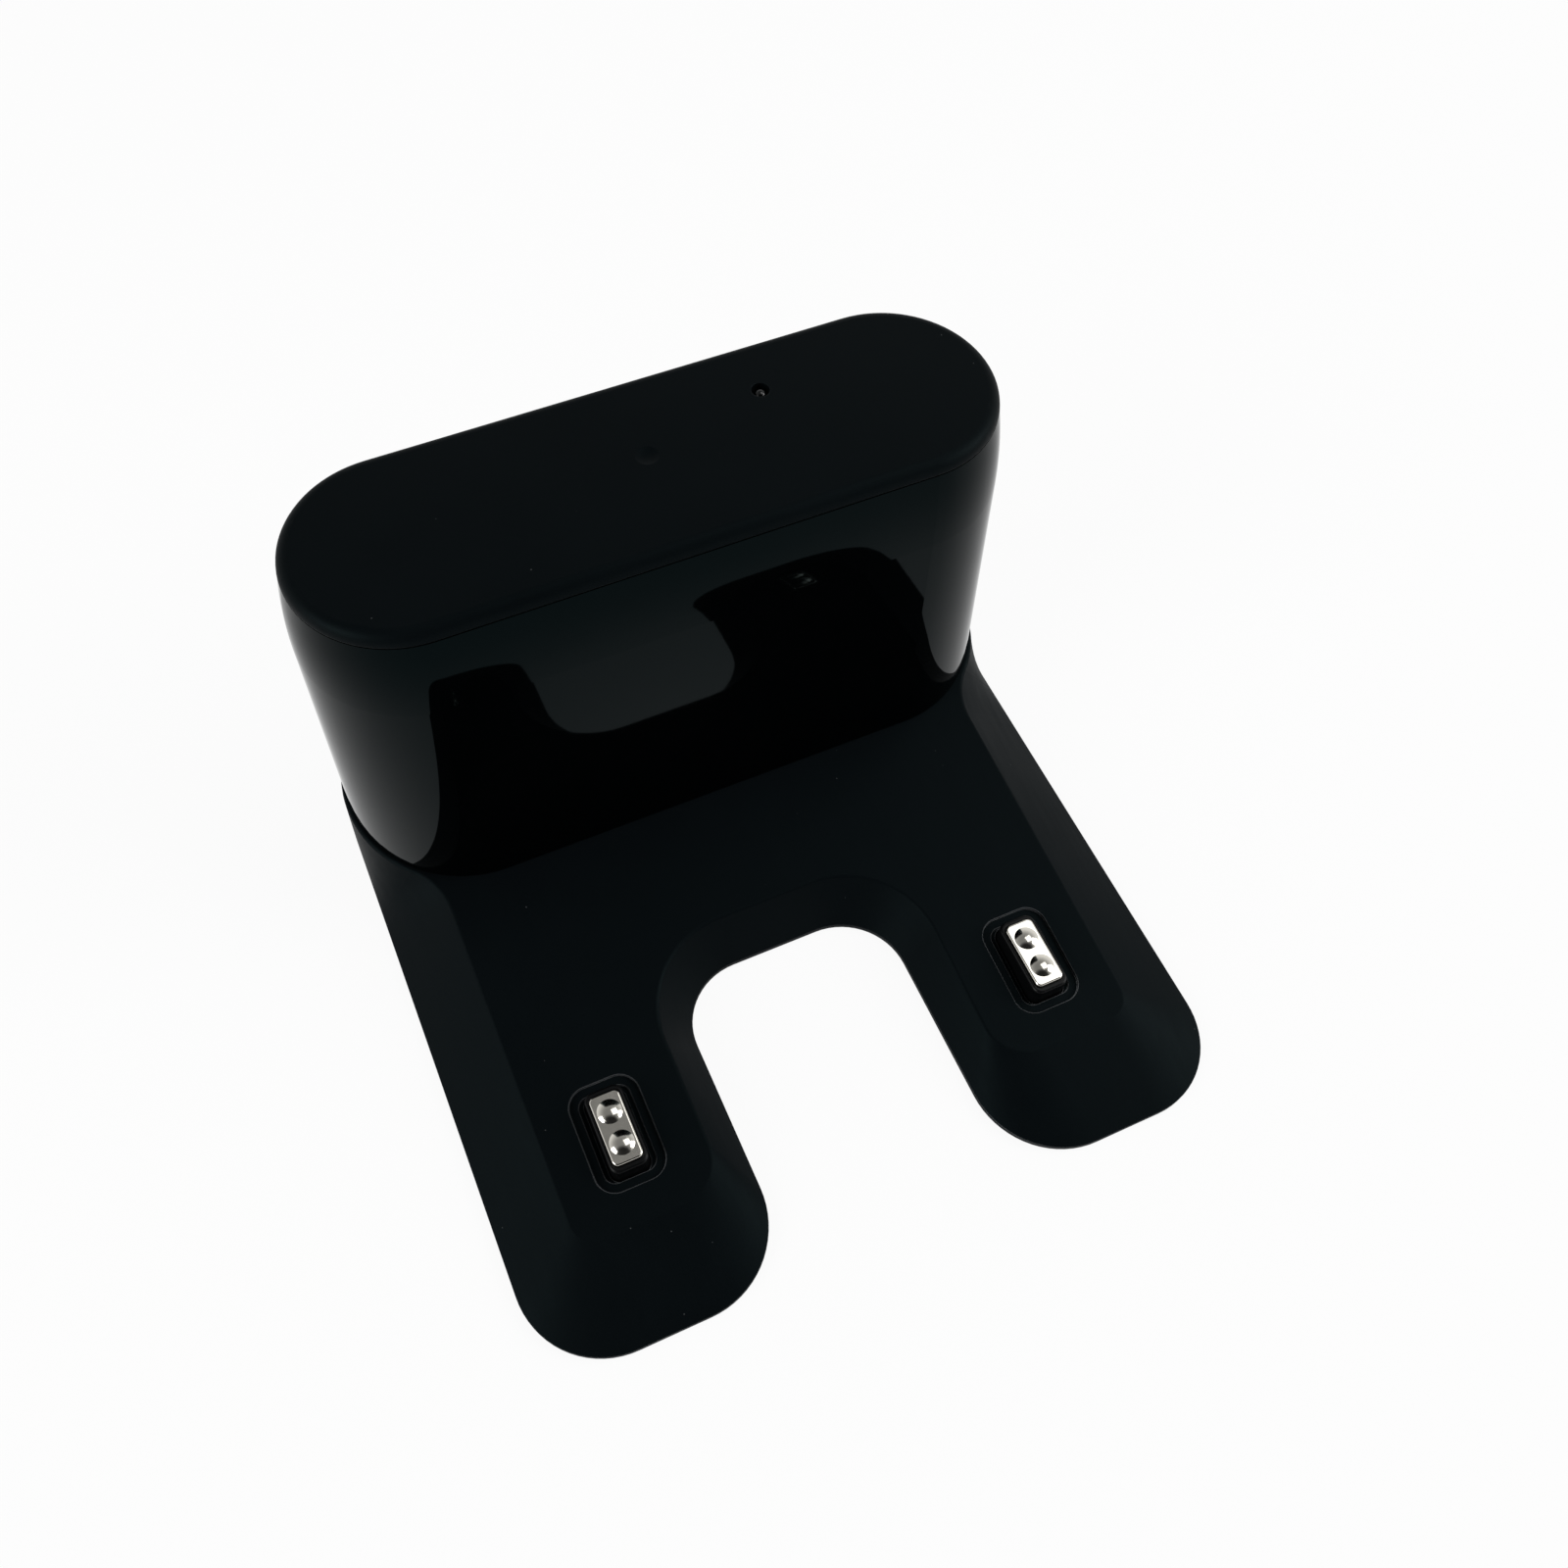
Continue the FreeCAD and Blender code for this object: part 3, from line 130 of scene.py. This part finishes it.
def specks(place, pitch, radius):
    """Sparse round specks of dust: one where the middle of a cell lies in the surface."""
    cells = place.add("ShaderNodeTexVoronoi", Vector=place, Scale=1.0 / pitch)
    return 1 - (cells > radius / pitch)


def bump(height, strength, depth, **normal):
    return height.add("ShaderNodeBump", Strength=strength, Distance=depth, Height=height, **normal)


def eased(place, radius):
    """Normals that turn round each edge, as the small radius of a mould's corners does."""
    return place.add("ShaderNodeBevel", {"samples": 8}, Radius=radius)


def along(first, second):
    """How far two directions agree."""
    return first.add("ShaderNodeVectorMath", {"operation": "DOT_PRODUCT"}, output=1, i0=first, i1=second)


def fade(given, start, end, first, last):
    """A smooth change from one number to another."""
    return given.add("ShaderNodeMapRange", {"interpolation_type": "SMOOTHSTEP"}, Value=given,
                     From_Min=start, From_Max=end, To_Min=first, To_Max=last)


def put_on(material, *nodes):
    for node in nodes:
        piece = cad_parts[node]
        piece.data.materials.clear()
        piece.data.materials.append(material)


dust_tone = (0.055, 0.058, 0.060)
speck_pitch = 0.0055
speck_radius = 0.00012
# Edges where the eased normal turns away from the face's own get a painted highlight: a lighter colour
# that stands in for light glinting on the rounded corners.
highlight_start, highlight_full = 0.98, 0.84
grain_depth = 0.00004


def moulding(name, low, high, highlight_tone, grain, rough, relief, index, edge=0.00025, rubbed=False, dusty=False,
             **constants):
    """Moulded plastic: a fine eroded grain, a slow change of tone and gloss, and a painted highlight: its
    edges are lightened in colour as if light glinted on them.
    The robot rubs it in streaks where it drives in, and dusty pieces carry sparse specks of dust on every
    face."""
    made, shader, place = finish(name, IOR=index, **constants)
    skin = noise(place, grain, 3.0, 0.6)
    drift = noise(place, 45.0)
    turned = eased(place, edge)
    flat = place.add("ShaderNodeNewGeometry", output=1)
    # Painted highlight: this mask lightens the colour along every edge.
    edge_highlight = fade(along(turned, flat), highlight_start, highlight_full, 0.0, 1.0)
    tone = between(edge_highlight * drift, between(skin * 0.5 + drift * 0.5, low, high), highlight_tone)
    if dusty:
        tone = between(specks(place, speck_pitch, speck_radius), tone, dust_tone)
    if rubbed:
        gloss = (drawn_out(place, 500.0) - 0.5) * 0.16 + (drift - 0.5) * 0.14
    else:
        gloss = (drift - 0.5) * 0.16 + (skin - 0.5) * 0.10 - edge_highlight * 0.1
    link(
        shader,
        Base_Color=tone,
        Roughness=gloss + rough,
        Normal=bump(skin, relief, grain_depth, Normal=turned),
    )
    return made


# The base's edges carry a painted highlight, far lighter than its black plastic.
base_skin = moulding(
    "base_black_moulding", low=(0.0012, 0.0018, 0.0023), high=(0.0026, 0.0037, 0.0046),
    highlight_tone=(0.20, 0.21, 0.22), grain=2600.0, rough=0.50, relief=0.35, index=1.12, edge=0.0004,
    rubbed=True, dusty=True, Specular_Tint=(0.6, 0.95, 1.0, 1.0),
)
put_on(base_skin, "base_cover")

# Bottom plate: a flat moulding in the same plastic with a coarser grain, held in the base
# shell's rebate by six countersunk screws.
plate_skin = moulding(
    "plate_black_moulding", low=(0.0040, 0.0046, 0.0050), high=(0.0090, 0.0100, 0.0108),
    highlight_tone=(0.02, 0.021, 0.022), grain=1500.0, rough=0.62, relief=0.6, index=1.3,
)
put_on(plate_skin, "bottom_plate")

# Screws: small steel thread-forming screws with a bright zinc plate, turned from wire.
# Six hold the bottom plate, four the chassis and eight the boards.


def plated(name, low, high, rough, scratch):
    """Plated metal with fine scratches along the strip it was stamped from."""
    made, shader, place = finish(name, Metallic=1.0)
    lines = drawn_out(place, scratch)
    patch = noise(place, 260.0)
    link(
        shader,
        Base_Color=between(patch, low, high),
        Roughness=lines * 0.12 + patch * 0.06 + rough,
        Normal=bump(lines, 0.06, 0.00002),
    )
    return made


zinc = plated("zinc_plated_steel", (0.42, 0.42, 0.42), (0.62, 0.61, 0.58), 0.24, 5200.0)
put_on(zinc, "base_screws", "chassis_screws", "board_screws")

# Rubber feet: four moulded pads pressed into recesses of the bottom plate.
# Soft black rubber, dull, with a faint pale bloom.
rubber, rubber_shader, place = finish("foot_rubber", Specular_IOR_Level=0.25)
bloom = noise(place, 420.0, 4.0, 0.65)
link(
    rubber_shader,
    Base_Color=between(bloom, (0.010, 0.010, 0.011), (0.030, 0.030, 0.031)),
    Roughness=bloom * 0.2 + 0.7,
    Normal=bump(noise(place, 1800.0), 0.3, 0.00005),
)
put_on(rubber, "rubber_feet")

# Sprung contacts: a black moulded carrier with a rolled rim slides in each well. The strip
# let into its top is stamped in brass with two domes, and plated in bright nickel, which the
# robot's charging pads scratch along their way in.
carrier_skin = moulding(
    "carrier_black_moulding", low=(0.0014, 0.0016, 0.0018), high=(0.0030, 0.0034, 0.0037),
    highlight_tone=(0.006, 0.0065, 0.007), grain=3200.0, rough=0.32, relief=0.15, index=1.23,
)
put_on(carrier_skin, "contact_carrier_left", "contact_carrier_right")
nickel = plated("bright_nickel", (0.68, 0.66, 0.59), (0.82, 0.79, 0.72), 0.05, 7000.0)
put_on(nickel, "contact_plate_left", "contact_plate_right", "inlet_pins")

# Below each carrier: a bowed leaf of spring steel stands on a stamped brass terminal strip,
# which takes the current. A thin insulated lead is crimped into the strip's tail.
crease = math.radians(40)


def shaped(name, shape, material):
    """A piece of its own, smooth between its creases."""
    mesh = bpy.data.meshes.new(name)
    shape.to_mesh(mesh)
    shape.free()
    mesh.shade_smooth()
    mesh.set_sharp_from_angle(angle=crease)
    mesh.materials.append(material)
    made = bpy.data.objects.new(name, mesh)
    bpy.context.collection.objects.link(made)
    return made


spring_steel = plated("spring_steel", (0.34, 0.34, 0.35), (0.52, 0.52, 0.52), 0.2, 4200.0)
leaf_thickness = 0.0004
leaf_steps = 24
for side in ("left", "right"):
    leaf_low, leaf_high = (Vector(corner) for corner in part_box(f"contact_spring_{side}"))
    leaf_middle = (leaf_low + leaf_high) / 2
    reach = (leaf_high.y - leaf_low.y) / 2
    rise = leaf_high.z - leaf_low.z
    bow_radius = (reach ** 2 + rise ** 2) / (2 * rise)
    strip = bmesh.new()
    ribs = []
    for step in range(leaf_steps + 1):
        rib = []
        for radius, sideways in ((bow_radius, 1), (bow_radius - leaf_thickness, -1)):
            turn = math.acos((bow_radius - rise) / radius) * (2 * step / leaf_steps - 1)
            y = leaf_middle.y + radius * math.sin(turn)
            z = leaf_high.z + radius * math.cos(turn) - bow_radius
            rib += [strip.verts.new((x, y, z)) for x in (leaf_low.x, leaf_high.x)[::sideways]]
        ribs.append(rib)
    strip.faces.new(ribs[0])
    strip.faces.new(ribs[-1][::-1])
    for first, second in zip(ribs, ribs[1:]):
        for corner in range(4):
            following = (corner + 1) % 4
            strip.faces.new((first[corner], second[corner], second[following], first[following]))
    bmesh.ops.recalc_face_normals(strip, faces=strip.faces)
    leaf = shaped(f"leaf_spring_{side}", strip, spring_steel)
    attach(leaf, "dock")
    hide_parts(f"contact_spring_{side}")
    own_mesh(leaf)
brass = plated("terminal_brass", (0.60, 0.43, 0.18), (0.74, 0.56, 0.28), 0.22, 4200.0)
put_on(brass, "contact_terminal_left", "contact_terminal_right")
lead_black = moulding(
    "lead_black_sleeve", low=(0.008, 0.008, 0.009), high=(0.016, 0.016, 0.017),
    highlight_tone=(0.016, 0.016, 0.017), grain=900.0, rough=0.5, relief=0.1, index=1.45,
)
put_on(lead_black, "contact_lead_left")
lead_red = moulding(
    "lead_red_sleeve", low=(0.30, 0.012, 0.012), high=(0.42, 0.022, 0.020),
    highlight_tone=(0.42, 0.022, 0.02), grain=900.0, rough=0.5, relief=0.1, index=1.45,
)
put_on(lead_red, "contact_lead_right")

# Inner chassis: a channel moulded in grey plastic, screwed to the base shell's four posts.
# Both boards stand on its web.
chassis_skin = moulding(
    "chassis_grey_moulding", low=(0.10, 0.105, 0.11), high=(0.14, 0.145, 0.15),
    highlight_tone=(0.18, 0.185, 0.19), grain=1400.0, rough=0.55, relief=0.3, index=1.45,
)
put_on(chassis_skin, "tower_chassis")

# Boards: glass-fibre laminate under green solder mask, with the copper below it faintly
# raised. The power and beacon boards are screwed to the chassis, the small one to the cap.
laminate, laminate_shader, place = finish("solder_mask_green")
islands = place.add("ShaderNodeTexVoronoi", {"feature": "DISTANCE_TO_EDGE"}, Vector=place, Scale=260.0)
copper = islands > 0.12
link(
    laminate_shader,
    Base_Color=between(copper, (0.006, 0.060, 0.026), (0.012, 0.105, 0.048)),
    Roughness=noise(place, 600.0) * 0.15 + 0.25,
    Normal=bump(copper, 0.2, 0.00004),
)
put_on(laminate, "power_board", "ir_board", "indicator_board")

# Power supply: a transformer wound in yellow tape, capacitors in shrink sleeve, a ferrite
# choke, a moulded fuse and a rectifier, all soldered to the power board.
tape = moulding(
    "winding_tape", low=(0.52, 0.36, 0.05), high=(0.66, 0.48, 0.09),
    highlight_tone=(0.7, 0.54, 0.14), grain=500.0, rough=0.4, relief=0.1, index=1.45,
)
put_on(tape, "transformer")
can = moulding(
    "shrink_sleeve", low=(0.012, 0.016, 0.045), high=(0.020, 0.026, 0.065),
    highlight_tone=(0.03, 0.036, 0.08), grain=300.0, rough=0.3, relief=0.05, index=1.5,
)
put_on(can, "bulk_capacitor", "output_capacitor")
ferrite = moulding(
    "ferrite_black", low=(0.020, 0.020, 0.022), high=(0.036, 0.036, 0.038),
    highlight_tone=(0.05, 0.05, 0.052), grain=1600.0, rough=0.6, relief=0.4, index=1.45,
)
put_on(ferrite, "line_choke", "rectifier")
fuse_skin = moulding(
    "fuse_tan_moulding", low=(0.26, 0.19, 0.11), high=(0.34, 0.26, 0.16),
    highlight_tone=(0.4, 0.32, 0.21), grain=900.0, rough=0.5, relief=0.15, index=1.45,
)
put_on(fuse_skin, "fuse")

# Mains inlet and beacon shroud: black mouldings with a satin skin. The inlet is soldered to
# the power board behind the window in the sleeve, and holds two round nickel pins.
inlet_skin = moulding(
    "inlet_black_moulding", low=(0.0050, 0.0052, 0.0056), high=(0.0105, 0.0108, 0.0112),
    highlight_tone=(0.02, 0.0205, 0.021), grain=1800.0, rough=0.45, relief=0.3, index=1.4,
)
put_on(inlet_skin, "mains_inlet", "ir_shroud")

# Beacon: three emitters cast in tinted clear resin, soldered to their board behind the front
# of the tower.
resin, resin_shader, place = finish("emitter_resin", IOR=1.5)
tint = noise(place, 300.0)
link(
    resin_shader,
    Base_Color=between(tint, (0.10, 0.10, 0.16), (0.16, 0.16, 0.24)),
    Roughness=tint * 0.08 + 0.06,
)
put_on(resin, "ir_emitters")

# Tower sleeve: a stadium tube moulded in polished black plastic that lets infrared through,
# slipped over the base's spigot. It mirrors the base and the floor darkly, with the faint
# ripple of a moulded gloss surface.
gloss, gloss_shader, place = finish("sleeve_polished_black", IOR=1.13, Specular_Tint=(0.35, 0.9, 1.0, 1.0))
ripple = noise(place, 70.0)
haze = noise(place, 900.0, 3.0)
link(
    gloss_shader,
    Base_Color=between(ripple, (0.0004, 0.0006, 0.0007), (0.0008, 0.0011, 0.0013)),
    Roughness=haze * 0.03 + 0.025,
    Normal=bump(ripple, 0.05, 0.0001),
)
put_on(gloss, "tower_sleeve")

# Cap: a lid moulded in the base's black plastic with a rolled edge, pushed into the sleeve.
# It has a hole for the lens and a shallow dimple, and catches a little dust.
# The cap's edges carry a painted highlight too.
cap_skin = moulding(
    "cap_black_moulding", low=(0.0010, 0.0016, 0.0020), high=(0.0022, 0.0032, 0.0040),
    highlight_tone=(0.016, 0.019, 0.021), grain=3000.0, rough=0.50, relief=0.25, index=1.12,
    dusty=True, Specular_Tint=(0.6, 0.95, 1.0, 1.0),
)
put_on(cap_skin, "top_cap")

# Indicator: a light pipe moulded in smoke-dark plastic, with a round end that stands just
# below the cap's face and a flange against its inside. A small white lamp on its own board
# shines up into it.
pipe_skin, pipe_shader, place = finish("light_pipe_smoke", IOR=1.5)
smoke = noise(place, 500.0)
link(
    pipe_shader,
    Base_Color=between(smoke, (0.0010, 0.0012, 0.0014), (0.0022, 0.0026, 0.0029)),
    Roughness=smoke * 0.05 + 0.05,
)
pipe_radius = 0.00165
bulb_radius = 0.00135
flange_below = 0.0019
flange_thickness = 0.001
pipe_low, pipe_high = (Vector(corner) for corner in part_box("indicator_lens"))
pipe_axis = (pipe_low + pipe_high) / 2
flange_radius = (pipe_high.x - pipe_low.x) / 2
flange_high = pipe_high.z - flange_below
flange_low = flange_high - flange_thickness
profile = [
    (pipe_radius, pipe_low.z), (pipe_radius, flange_low), (flange_radius, flange_low),
    (flange_radius, flange_high), (pipe_radius, flange_high), (pipe_radius, pipe_high.z - bulb_radius),
]
bulb_steps = 12
for step in range(bulb_steps):
    turn = math.radians(90 * step / bulb_steps)
    profile.append((bulb_radius * math.cos(turn), pipe_high.z - bulb_radius * (1 - math.sin(turn))))
sides = 48
shape = bmesh.new()
loops = [
    [
        shape.verts.new((
            pipe_axis.x + radius * math.cos(math.tau * side / sides),
            pipe_axis.y + radius * math.sin(math.tau * side / sides),
            height,
        ))
        for side in range(sides)
    ]
    for radius, height in profile
]
crown = shape.verts.new((pipe_axis.x, pipe_axis.y, pipe_high.z))
shape.faces.new(loops[0][::-1])
for side in range(sides):
    following = (side + 1) % sides
    for lower, upper in zip(loops, loops[1:]):
        shape.faces.new((lower[side], lower[following], upper[following], upper[side]))
    shape.faces.new((loops[-1][side], loops[-1][following], crown))
pipe = shaped("light_pipe", shape, pipe_skin)
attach(pipe, "dock")
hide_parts("indicator_lens")
lamp = moulding(
    "lamp_white_body", low=(0.62, 0.62, 0.58), high=(0.74, 0.74, 0.70),
    highlight_tone=(0.78, 0.78, 0.75), grain=900.0, rough=0.35, relief=0.05, index=1.5,
)
put_on(lamp, "indicator_led")

# Floor: a plain white sheet that the dock stands on. It looks white to the eye and in the
# polished pieces, and keeps a trace of the dock's shadow.
floor_reach = 6.0
sheet = bpy.data.meshes.new("floor_sheet")
corners = [(-floor_reach, -floor_reach), (floor_reach, -floor_reach), (floor_reach, floor_reach)]
corners.append((-floor_reach, floor_reach))
sheet.from_pydata([(*corner, 0) for corner in corners], [], [(0, 1, 2, 3)])
floor = bpy.data.objects.new("floor_sheet", sheet)
bpy.context.collection.objects.link(floor)
paper, paper_shader, place = finish("floor_white", Roughness=0.9, Specular_IOR_Level=0.0)
link(paper_shader, Base_Color=between(noise(place, 2.0), (0.78, 0.78, 0.78), (0.80, 0.80, 0.80)))
rays = paper.node_tree.nodes.new("ShaderNodeLightPath")
camera_ray, glossy_ray, clear_ray = (
    Node(paper.node_tree, rays.outputs[f"Is {kind} Ray"]) for kind in ("Camera", "Glossy", "Transmission")
)
white = place.add("ShaderNodeEmission", Color=(1.0, 1.0, 1.0, 1.0), Strength=1.0)
blend = place.add("ShaderNodeMixShader", i0=(camera_ray + glossy_ray + clear_ray) * 0.93,
                  i1=Node(paper.node_tree, paper_shader.outputs[0]), i2=white)
paper.node_tree.links.new(blend.socket, paper.node_tree.nodes["Material Output"].inputs["Surface"])
sheet.materials.append(paper)

# Studio: a white tent that is dim overhead and has a dark opening in front, where the camera
# looks in. A soft lamp on each side lights the dock, and a small one above its right shines
# in the metal.
world = bpy.data.worlds.new("white_tent")
bpy.context.scene.world = world
world.use_nodes = True
tent = world.node_tree
way = Node(tent, tent.nodes.new("ShaderNodeTexCoord").outputs["Generated"])
wall = fade(way.add("ShaderNodeSeparateXYZ", output=2, Vector=way), 0.1, 0.95, 0.9, 0.22)
opening = (-0.22, -0.75, 0.62)
lit = wall * fade(along(way, opening), 0.62, 0.86, 1.0, 0.05)
seen = Node(tent, tent.nodes.new("ShaderNodeLightPath").outputs["Is Camera Ray"])
tent.links.new((lit * (1 - seen) + seen).socket, tent.nodes["Background"].inputs["Strength"])
tent.nodes["Background"].inputs["Color"].default_value = (1.0, 1.0, 1.0, 1.0)
for name, spot, size, power in (
    ("left_lamp", (-1.3, -0.25, 0.75), 0.8, 12.0),
    ("right_lamp", (1.25, -0.45, 0.85), 0.8, 11.0),
    ("upper_lamp", (0.64, 0.08, 1.36), 0.8, 3.7),
):
    lamp_data = bpy.data.lights.new(name, "AREA")
    lamp_data.size = size
    lamp_data.energy = power
    lamp_object = bpy.data.objects.new(name, lamp_data)
    lamp_object.location = spot
    lamp_object.rotation_euler = (Vector((0, 0, 0.04)) - Vector(spot)).to_track_quat("-Z", "Y").to_euler()
    bpy.context.collection.objects.link(lamp_object)

# Camera: close above the left front, at the photograph's angle, for a square picture whose
# optical axis stands a little off the middle.
picture_side = 1600.0
focal_length = 1371.429
axis_across = 767.807
axis_down = 869.219
azimuth = math.radians(-26.185)
elevation = math.radians(62.455)
roll = math.radians(2.642)
stand = (-0.056418, -0.113525, 0.267902)
flat = math.cos(elevation)
back = Vector((math.sin(azimuth) * flat, -math.cos(azimuth) * flat, math.sin(elevation)))
level = Vector((math.cos(azimuth), math.sin(azimuth), 0.0))
upright = back.cross(level)
right = level * math.cos(roll) + upright * math.sin(roll)
up = upright * math.cos(roll) - level * math.sin(roll)
lens = bpy.data.cameras.new("photo_camera")
lens.sensor_width = 36.0
lens.lens = lens.sensor_width * focal_length / picture_side
lens.shift_x = 0.5 - axis_across / picture_side
lens.shift_y = axis_down / picture_side - 0.5
lens.clip_start = 0.01
camera = bpy.data.objects.new("photo_camera", lens)
camera.matrix_world = Matrix.Translation(stand) @ Matrix((right, up, back)).transposed().to_4x4()
bpy.context.collection.objects.link(camera)
bpy.context.scene.camera = camera

bpy.context.scene.view_settings.view_transform = "Standard"
